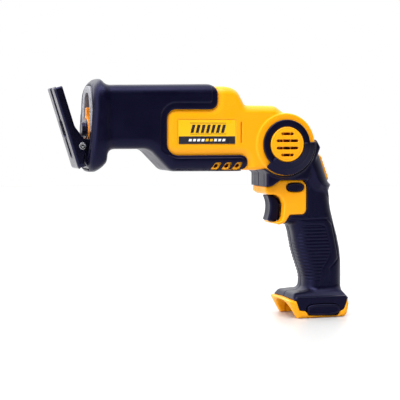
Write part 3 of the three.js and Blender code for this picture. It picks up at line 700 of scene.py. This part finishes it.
def hub_surround(x, w, z):
    """The fork's discs round the hub: a flat ring, and a sector whose face slopes back."""
    r = np.hypot(x, z)
    ring = meet(r - RING["radius"], w - RING["outer"], 0.9)
    slope = 0.42
    cone = (w + slope * (r - RING["radius"] - 0.4) - RING["outer"] + 0.5) / math.hypot(1, slope)
    disc = meet(r - SURROUND["radius"], cone, 3.5)
    sector = outline(x, z, [(0, 0)] + arc(60, SURROUND["start"], SURROUND["end"], 24))
    disc = meet(disc, sector, 1.2)
    return join(ring, disc, 0.3)


def foot_flare(x, w, z):
    """The skirt over the battery foot: a sloped top, a ledge and side aprons."""
    plan = outline(x, z, rounded([(8.7, -157.4, 1), (11.5, -150.5, 4), (64, -147, 8), (70.6, -157.4, 1)]))
    top = (w + 1.1 * (z + 157.4) - 29.6) / math.hypot(1, 1.1)
    flare = meet(meet(plan, w - 29.3, 1.2), top, 2.0)
    apron = meet(outline(x, z, rounded(SKIRT)), w - 28.7, 0.8)
    return join(flare, np.maximum(apron, 26 - w), 0.4)


def grip_body(x, w, z):
    """The plain barrel of the handle, rounder below and behind the trigger frame."""
    softness = np.maximum(ease((-z - 68) / 14), ease((x - 14) / 16))
    return meet(outline(x, z, rounded(GRIP)), w - GRIP_HALF, 5 + 8.5 * softness)


def core_field(x, w, z):
    """The yellow core, kept well under the rubber."""
    core = meet(outline(x, z, rounded(CORE)), w - CORE_HALF, 1.5)
    return np.maximum(core, grip_body(x, w, z) + 3.4 * ease((z + 160) / 6))


def grip_field(grid):
    """The grip's outside: barrel, block under the hub, spine, foot and hub surround."""
    x, w, z = grid.x, grid.w, grid.z
    plan = outline(x, z, rounded(GRIP))
    body = grip_body(x, w, z)
    shoulder = np.maximum(plan, outline(x, z, rounded(SHOULDER)))
    shoulder = meet(shoulder, w - BLOCK_HALF, 3)
    spine_edge = outline(x, z, rounded(SPINE))
    spine = meet(plan, w - SPINE_HALF, 20)
    spine = meet(spine, (w + 0.85 * spine_edge - SPINE_HALF) / math.hypot(1, 0.85), 0.6)
    field = join(body, shoulder, 1.0)
    field = join(field, spine, 1.0)
    field = join(field, foot_flare(x, w, z), 5)
    field = field + grip_relief(x, w, z)
    field = join(field, hub_surround(x, w, z), 1.6)
    return field


def make_grip():
    """The rubber grip, cut out round the hub, the yellow core and the release button."""
    grid = Grid((-36, 74), (-0.8, 35), (FOOT_Z, 35), 0.7)
    x, w, z = grid.x, grid.w, grid.z
    field = grip_field(grid)
    r = np.hypot(x, z)
    field = cut(field, meet(r - DRUM["radius"] - 0.6, w - RING["inner"]), 0.4)
    field = cut(field, r - RING["bore"], 0.5)
    field = cut(field, outline(x, z, rounded(FRAME)) - GAP, 0.5)
    field = cut(field, outline(x, z, FINGER_ROOM))
    field = cut(field, meet(outline(x, z, rounded(HOUSING)) - 2 * GAP, w - BODY_HALF - 2 * GAP), 0.4)
    field = cut(field, core_field(x, w, z) - GAP)
    field = cut(field, meet(outline(x, z, rounded(FOOT)) - GAP, w - 26.2))
    out, along = back_frame(x, z)
    bezel_seat = meet(brick(w, along, (-10.7, 10.7), (-14.3, 14.3), 3), -3.4 - out)
    bore = meet(brick(w, along, (-7.5, 7.5), (-11.5, 11.5), 2), -6.4 - out)
    shaft = meet(brick(w, along, (-5.4, 5.4), (-9.4, 9.4), 1), -16 - out)
    spring_room = meet(brick(w, along, (-3.6, 3.6), (-3.6, 3.6), 1), -24 - out)
    field = cut(field, np.minimum(np.minimum(bezel_seat, bore), np.minimum(shaft, spring_room)), 0.3)
    pad = outline(x, z, oval(PAD["half"][0] + 0.4, PAD["half"][1] + 0.4, PAD["centre"], 3.4))
    field = cut(field, meet(pad, 27.6 - w), 0.5)
    field = shell_half(grid, field)
    right = cut(field, screw_wells(grid, HANDLE_SCREWS, HANDLE_HEAD_W), 0.4)
    pair("grip", grid, field, "handle", "black_rubber", right)


# ---- yellow core: trigger frame and battery foot ----
def make_handle():
    """The yellow core: a trigger frame above and the battery foot below, hollow for the pack."""
    grid = Grid((-19.5, 75), (-0.8, 30.5), (FOOT_Z - 1.5, -34), 0.7)
    x, w, z = grid.x, grid.w, grid.z
    core = core_field(x, w, z)
    frame_plan = outline(x, z, rounded(FRAME))
    rim = 1.2 * ease(1 - (-frame_plan) / 1.6) * (w > 15)
    yellow_frame = meet(frame_plan, w - FRAME_HALF - 0.6 + 0.4 * rim, 0.9)
    foot = meet(outline(x, z, rounded(FOOT)), w - FOOT_HALF + 0.3, 3.5)
    apron = outline(x, z, rounded(SKIRT)) - 0.25
    foot = cut(foot, meet(apron, 25.8 - w), 0.3)
    tab = meet(brick(x, z, (66, 73.4), (-169, -162.2), 1.2), w - 9, 1.0)
    field = join(core, yellow_frame, 0.3)
    field = join(field, join(foot, tab, 0.6), 0.3)
    field = cut(field, core + 2.4)
    field = cut(field, meet(brick(x, z, (-8, 10), (-78.7, -50.7)), w - 9), 0.5)
    field = cut(field, meet(brick(x, z, (9, 27), (-72.5, -49.5)), w - 9))
    field = cut(field, meet(brick(x, z, (33, 56), (-170, -148)), w - 13))
    field = cut(field, meet(brick(x, z, (20, 56), (FOOT_Z - 4, -161)), w - 21), 0.6)
    arch = outline(w, z, oval(20.5, 16.5, (0, FOOT_Z), 3.0))
    field = cut(field, np.maximum(arch, x - 26), 1.6)
    lip = outline(w, z, oval(23.5, 19, (0, FOOT_Z), 3.0))
    hole = oval(LOCK_OFF["half"][0] + 0.5, LOCK_OFF["half"][1] + 0.5, LOCK_OFF["centre"], 2.6)
    field = cut(field, outline(x, z, hole), 0.5)
    field = field - 0.5 * np.exp(-((lip / 1.2) ** 2)) * (x < 16)
    field = shell_half(grid, field)
    right = cut(field, screw_wells(grid, HANDLE_SCREWS, HANDLE_HEAD_W), 0.4)
    pair("handle", grid, field, "handle", "yellow_abs", right)


def make_pads():
    """Oval rubber pads with a raised rim and a ribbed middle."""
    grid = Grid((20, 62), (26.8, 32), (-176, -158), 0.4)
    x, w, z = grid.x, grid.w, grid.z
    plan = outline(x, z, oval(PAD["half"][0], PAD["half"][1], PAD["centre"], 3.4))
    field = meet(plan, w - 30.6, 1.4)
    field = meet(field, 27.9 - w)
    field = field + 0.55 * ease((-plan - 1.6) / 0.7)
    field = field + 0.12 * (0.5 + 0.5 * np.cos(2 * math.pi * z / 1.6)) * ease((-plan - 2.4) / 0.6)
    pair("foot_pad", grid, field, "handle", "black_rubber")


# ---- controls ----
def make_trigger():
    """A dished trigger with a bore for its spring."""
    grid = Grid((-13.5, 4), (-9.8, 9.8), (-79.5, -50), 0.4)
    x, w, z = grid.x, np.abs(grid.w), grid.z
    plan = outline(x, z, rounded(TRIGGER))
    field = meet(plan, w - 8.6, 2.6)
    dish = 0.5 * (1 - (w / 8.6) ** 2) * ease((-4 - x) / 4)
    field = field + dish
    field = cut(field, meet(np.hypot(w, z + 64) - 3.2, -6 - x))
    single("trigger", grid, field, "trigger", "black_nylon")


def make_lock_off():
    """A bar through the handle with a button face at each end."""
    grid = Grid((4, 24.5), (-21.5, 19), (-49, -38), 0.4)
    x, y, z = grid.x, grid.w, grid.z
    plan = outline(x, z, oval(LOCK_OFF["half"][0], LOCK_OFF["half"][1], LOCK_OFF["centre"], 2.6))
    bar = meet(plan, np.abs(y + 1.2) - 19.3, 0.9)
    bar = bar + 0.7 * ease((-plan - 1.3) / 0.7) * (np.abs(y + 1.2) > 15)
    bar = bar - 0.35 * (0.5 + 0.5 * np.cos(2 * math.pi * (x - 14.3) / 2.6)) * ease((-plan - 1.8) / 0.5)
    fit(sculpt("look_lock_off", grid, bar, "black_nylon"), "lock_off", "lock_off_button")


def leaned(points, pivot, lean):
    """Points given in a frame that leans about a pivot turned into hub ones."""
    c, s = math.cos(lean), math.sin(lean)
    x = pivot[0] + points[:, 0] * c - points[:, 2] * s
    z = pivot[1] + points[:, 0] * s + points[:, 2] * c
    return np.stack([x, points[:, 1], z], axis=1)


def back_place(points):
    """Points given as (out of the back, y, along the back) turned into hub ones."""
    return leaned(points, BACK, BACK_LEAN)


def make_release_bezel():
    grid = Grid((-4, 3.6), (-11.4, 11.4), (-15, 15), 0.4)
    out, w, along = grid.x, np.abs(grid.w), grid.z
    bezel = meet(brick(w, along, (-10.4, 10.4), (-14, 14), 3.2), np.abs(out + 0.2) - 2.8, 0.8)
    bezel = cut(bezel, brick(w, along, (-7.6, 7.6), (-11.6, 11.6), 2.2), 0.5)
    single("release_bezel", grid, bezel, "handle", "yellow_abs", back_place)


def make_release_button():
    grid = Grid((-9, 5.2), (-8.4, 8.4), (-12.4, 12.4), 0.4)
    out, w, along = grid.x, np.abs(grid.w), grid.z
    cap = meet(brick(w, along, (-7.2, 7.2), (-11.2, 11.2), 2.0), np.abs(out - 0.6) - 3.6, 1.1)
    ribs = 0.9 * (0.5 + 0.5 * np.cos(2 * math.pi * along / 3.6)) * (np.abs(along) < 8)
    cap = cut(cap, -(out - 4.2) - ribs)
    cap = join(cap, meet(brick(w, along, (-5, 5), (-9, 9), 1), np.abs(out + 5.2) - 2.8), 0.2)
    single("release_button", grid, cap, "release", "black_nylon", back_place)


# ---- shoe, bracket and blade clamp ----
def shoe_place(points):
    """Points given square to the shoe's face, about its pivot, turned into hub ones."""
    return leaned(points, SHOE_PIVOT, SHOE_TILT)


def make_shoe():
    """A bent steel channel with a blade slot that widens into a window."""
    front, sheet, half, bottom, top = -10.2, 2.0, 17.0, -20.8, 60.8
    grid = Grid((front - 1, 5.2), (-half - 1, half + 1), (bottom - 1, top + 1), 0.5)
    x, w, z = grid.x, np.abs(grid.w), grid.z
    side = outline(x, z, rounded([
        (front, top, 1.5), (-1.2, top, 1.5), (-1.2, 20, 10), (4, 6, 8), (4, -4, 6), (-2.3, -14, 6),
        (-2.3, bottom, 2), (front, bottom, 3),
    ]))
    face = rounded([(-half, bottom, 5), (half, bottom, 5), (half, top, 3), (-half, top, 3)])
    field = meet(side, w - half, 2.4)
    field = meet(field, outline(w, z, face))
    inside = meet(-(x - front - sheet), w - half + sheet, 1.2)
    field = cut(field, inside, 0.2)
    slot = brick(w, z, (-4, 4), (-9.3, 90), 3.6)
    window = brick(w, z, (-6.8, 6.8), (11.6, 28.4), 2.6)
    field = cut(field, join(slot, window, 2), 0.45)
    field = cut(field, np.hypot(x, z) - 2.8, 0.3)
    single("shoe", grid, field, "shoe", "black_steel", shoe_place)


def make_bracket():
    """Two ears with a floor and a wall between them."""
    grid = Grid((-209, -186), (-16, 16), (-24, 8.5), 0.45)
    x, w, z = grid.x, np.abs(grid.w), grid.z
    side = outline(x, z, rounded([
        (-207.6, 3.5, 3), (-203, 7, 3), (-197, 6, 3), (-188, 3, 2), (-188, -22.8, 2), (-196.5, -22.8, 2),
        (-206, -9, 5),
    ]))
    ears = meet(side, slab(w, (12, 14.6)), 0.5)
    floor = meet(brick(x, z, (-196.5, -188), (-22.8, -20)), w - 14.6, 0.5)
    wall = meet(brick(x, z, (-190, -188), (-22.8, -2)), w - 14.6, 0.5)
    field = join(ears, join(floor, wall, 1), 0.8)
    field = cut(field, np.hypot(x - SHOE_PIVOT[0], z - SHOE_PIVOT[1]) - 2.8, 0.3)
    single("shoe_bracket", grid, field, "saw_body", "black_steel")


def make_pivot_pin():
    grid = Grid((-208, -199), (-20, 20), (-5.5, 4), 0.4)
    w = np.abs(grid.w)
    r = np.hypot(grid.x - SHOE_PIVOT[0], grid.z - SHOE_PIVOT[1])
    head = meet(r - 3.5, np.abs(w - 18.1) - 0.9, 0.7)
    head = head + 0.3 * np.exp(-(((r - 1.6) / 0.5) ** 2))
    pin = join(meet(r - 2.5, w - 17.6), head, 0.2)
    single("shoe_pivot_pin", grid, pin, "saw_body", "bright_steel")


def make_clamp():
    """A stepped collar with rings turned in it and a slot for the blade."""
    front, rear = -201.5, -187.8
    grid = Grid((front - 1, rear + 1), (-11, 11), (SPINDLE_Z - 11, SPINDLE_Z + 11), 0.45)
    x, y, z = grid.x, grid.w, grid.z
    r = np.hypot(y, z - SPINDLE_Z)
    field = meet(r - 6.8, slab(x, (front, rear)), 1.0)
    field = join(field, meet(r - CLAMP_RADIUS, slab(x, (-197.2, rear)), 1.2), 0.6)
    for station in (-200.0, -198.6, -190.4, -189.2):
        field = field + 0.4 * np.exp(-(((x - station) / 0.35) ** 2)) * (r > 5)
    slot = meet(np.abs(y) - 0.9, np.abs(z - SPINDLE_Z) - 7.5)
    field = cut(field, np.maximum(slot, x - rear + 3), 0.3)
    single("blade_clamp", grid, field, "plunger", "black_steel")


def make_clamp_lever():
    """A hoop round the clamp with a finger tab on top."""
    grid = Grid((-197.5, -190.5), (-12.5, 12.5), (SPINDLE_Z - 12.5, 37), 0.4)
    x, y, z = grid.x, grid.w, grid.z
    r = np.hypot(y, z - SPINDLE_Z)
    thick = slab(x, (-196.5, -191.5))
    hoop = meet(r - CLAMP_RADIUS - 1.6, thick, 0.6)
    tab = meet(brick(y, z, (-2.5, 2.5), (SPINDLE_Z + CLAMP_RADIUS, 36), 1.2), thick, 0.6)
    field = cut(join(hoop, tab, 2), r - CLAMP_RADIUS - GAP, 0.3)
    single("clamp_lever", grid, field, "clamp_lever", "orange_steel")


# ---- small flat pieces ----
def make_labels():
    """A plain rating plate: a field of slanted bars over a dark strip with short dashes."""
    x0, x1 = LABEL["x"]
    z0, z1 = LABEL["z"]
    for side, word in SIDES:
        face = side * BODY_HALF
        rest = side * (BODY_HALF - LABEL["thick"])
        print_face = face + side * 0.08
        parts = [("label_yellow", box_corners((x0, x1), (z0, z1)), rest, face)]
        strip = box_corners((x0 + 0.6, x1 - 0.6), (z0 + 0.4, z0 + 7.9))
        parts.append(("label_black", strip, face, print_face))
        for i in range(7):
            u = x0 + 12.4 + 5.2 * i
            bar = [(u, z0 + 11.2), (u + 3.1, z0 + 11.2), (u + 5.2, z0 + 19.2), (u + 2.1, z0 + 19.2)]
            parts.append(("label_black", bar, face, print_face))
        for z in (z0 + 9.9, z0 + 20.6):
            line = box_corners((x0 + 12, x0 + 49), (z, z + 0.45))
            parts.append(("label_black", line, face, face + side * 0.06))
        for i in range(9):
            u = x0 + 10.5 + 4.3 * i
            slot = "label_yellow" if i in (4, 5) else "label_white"
            dash = [(u, z0 + 3), (u + 2.9, z0 + 3), (u + 3.5, z0 + 5.4), (u + 0.6, z0 + 5.4)]
            parts.append((slot, dash, print_face, face + side * 0.14))
        plate = stack_of_prisms(f"look_label_plate_{word}", parts)
        fit(plate, "saw_body", f"label_plate_{word}")


def box_corners(x, z):
    """The four corners of an upright rectangle."""
    return [(x[0], z[0]), (x[1], z[0]), (x[1], z[1]), (x[0], z[1])]


def stack_of_prisms(name, parts):
    """Four-sided prisms of several materials in one object."""
    slots = sorted({slot for slot, *_ in parts})
    points, quads, faces_slot = [], [], []
    for slot, corners, low, high in parts:
        base = len(points)
        points += [(u, low, v) for u, v in corners] + [(u, high, v) for u, v in corners]
        outward = 1 if high > low else -1
        rings = [(0, 1, 2, 3), (7, 6, 5, 4)] + [(i, i + 4, (i + 1) % 4 + 4, (i + 1) % 4) for i in range(4)]
        for ring in rings:
            quads.append([base + i for i in ring[::outward]])
            faces_slot.append(slots.index(slot))
    piece = new_object(name, np.array(points), np.array(quads), [LOOKS[s] for s in slots], smooth=False)
    piece.data.polygons.foreach_set("material_index", np.array(faces_slot, np.int32))
    return piece


def make_screws():
    """Pan heads with a six-sided socket, at the bottom of their wells on the right side."""
    places = [
        (f"housing_screw_{i + 1}", at, BODY_HALF - 3, "saw_body") for i, at in enumerate(HOUSING_SCREWS)
    ]
    places += [(f"handle_screw_{i + 1}", at, HANDLE_HEAD_W, "handle") for i, at in enumerate(HANDLE_SCREWS)]
    for name, (u, v), reach, body in places:
        grid = Grid((u - 3.8, u + 3.8), (reach - 3, reach + 3.4), (v - 3.8, v + 3.8), 0.25)
        x, w, z = grid.x - u, grid.w, grid.z - v
        r = np.hypot(x, z)
        head = meet(r - 3, slab(w, (reach - 0.2, reach + 2.2)), 0.7)
        angle = np.arctan2(z, x)
        socket = r - 1.45 - 0.3 * np.cos(6 * angle)
        head = cut(head, np.maximum(socket, reach + 0.9 - w), 0.1)
        shank = meet(r - 1.6, slab(w, (reach - 2.6, reach + 0.5)))
        single(name, grid, join(head, shank, 0.1), body, "screw_steel")


def dress_cad():
    """Gives each CAD node that stays in view its slot's material."""
    record = frame["record"]
    slots = {part["node"]: part["material_slot"] for part in record["subparts"]}
    for name, node in frame["nodes"].items():
        node.data.materials.clear()
        node.data.materials.append(LOOKS[slots[name]])


# ---- studio ----
def make_camera():
    azimuth, elevation, distance = math.radians(-17.5), math.radians(3.5), 1.25
    target = Vector((HUB * MM + np.array([-0.0805, 0, -0.0556])).tolist())
    level = math.cos(elevation)
    away = Vector((math.sin(azimuth) * level, -math.cos(azimuth) * level, math.sin(elevation)))
    data = bpy.data.cameras.new("camera")
    data.sensor_width = 36
    data.lens = 112.5
    camera = bpy.data.objects.new("camera", data)
    camera.location = target + away * distance
    camera.rotation_euler = away.to_track_quat("Z", "Y").to_euler()
    bpy.context.scene.collection.objects.link(camera)
    bpy.context.scene.camera = camera


def area_light(name, place, aim, size, watts):
    data = bpy.data.lights.new(name, "AREA")
    data.shape = "RECTANGLE"
    data.size, data.size_y = size
    data.energy = watts
    light = bpy.data.objects.new(name, data)
    light.location = place
    light.rotation_euler = (Vector(place) - Vector(aim)).to_track_quat("Z", "Y").to_euler()
    bpy.context.scene.collection.objects.link(light)


def graded(tree, value, source, result):
    """Maps one range of a value smoothly onto another."""
    node = tree.nodes.new("ShaderNodeMapRange")
    node.interpolation_type = "SMOOTHSTEP"
    for socket, number in zip(("From Min", "From Max", "To Min", "To Max"), source + result):
        node.inputs[socket].default_value = number
    tree.links.new(value, node.inputs["Value"])
    return node.outputs["Result"]


def times(tree, first, second):
    node = tree.nodes.new("ShaderNodeMath")
    node.operation = "MULTIPLY"
    tree.links.new(first, node.inputs[0])
    tree.links.new(second, node.inputs[1])
    return node.outputs[0]


def make_studio():
    """White all round to the eye, with a dimmer patch in front so that flat dark faces stay dark."""
    world = bpy.data.worlds.new("studio")
    world.use_nodes = True
    tree = world.node_tree
    background = tree.nodes["Background"]
    direction = tree.nodes.new("ShaderNodeTexCoord").outputs["Generated"]
    facing = tree.nodes.new("ShaderNodeVectorMath")
    facing.operation = "DOT_PRODUCT"
    facing.inputs[1].default_value = Vector((0.42, -0.91, -0.05)).normalized()
    tree.links.new(direction, facing.inputs[0])
    axes = tree.nodes.new("ShaderNodeSeparateXYZ")
    tree.links.new(direction, axes.inputs[0])
    height = tree.nodes.new("ShaderNodeMath")
    height.operation = "ABSOLUTE"
    tree.links.new(axes.outputs["Z"], height.inputs[0])

    front_dark = graded(tree, facing.outputs["Value"], (0.3, 0.74), (2.4, 0.0))
    top_bright = graded(tree, height.outputs[0], (0, 0.8), (0.62, 1.5))
    rear_dim = graded(tree, axes.outputs["X"], (-0.6, 0.9), (1.0, 0.5))
    glow = times(tree, times(tree, front_dark, top_bright), rear_dim)
    seen = tree.nodes.new("ShaderNodeLightPath").outputs["Is Camera Ray"]
    strength = tree.nodes.new("ShaderNodeMix")
    tree.links.new(seen, strength.inputs[0])
    tree.links.new(glow, strength.inputs[2])
    strength.inputs[3].default_value = 1.0
    tree.links.new(strength.outputs[0], background.inputs["Strength"])
    background.inputs["Color"].default_value = (1, 1, 1, 1)
    bpy.context.scene.world = world
    centre = (-0.14, 0, 0.12)
    area_light("top", (-0.3, -0.7, 1.7), centre, (1.4, 0.7), 17)
    area_light("left", (-1.5, -0.7, 0.3), centre, (0.7, 0.7), 3)
    bpy.context.scene.view_settings.view_transform = "Standard"


def make_floor():
    radius, corners = 2.6, 64
    angles = np.linspace(0, 2 * math.pi, corners, False)
    ring = [(radius * math.cos(a), radius * math.sin(a), 0) for a in angles]
    mesh = bpy.data.meshes.new("floor")
    mesh.from_pydata(ring, [], [list(range(corners))])
    m = Nodes("pale_floor")
    tone = m.mix(m.spread(m.noise(3, 2), 0.3, 0.7, 0, 1), (0.5, 0.5, 0.5, 1), (0.52, 0.52, 0.52, 1))
    m.link(tone, "Base Color")
    m.shader.inputs["Roughness"].default_value = 0.35
    mesh.materials.append(m.material)
    floor = bpy.data.objects.new("floor", mesh)
    bpy.context.scene.collection.objects.link(floor)


make_camera()
make_studio()
make_floor()
dress_cad()
make_housing()
make_boot()
make_bezel()
make_vent_covers()
make_grip()
make_handle()
make_pads()
make_trigger()
make_lock_off()
make_release_bezel()
make_release_button()
make_shoe()
make_bracket()
make_pivot_pin()
make_clamp()
make_clamp_lever()
make_labels()
make_screws()
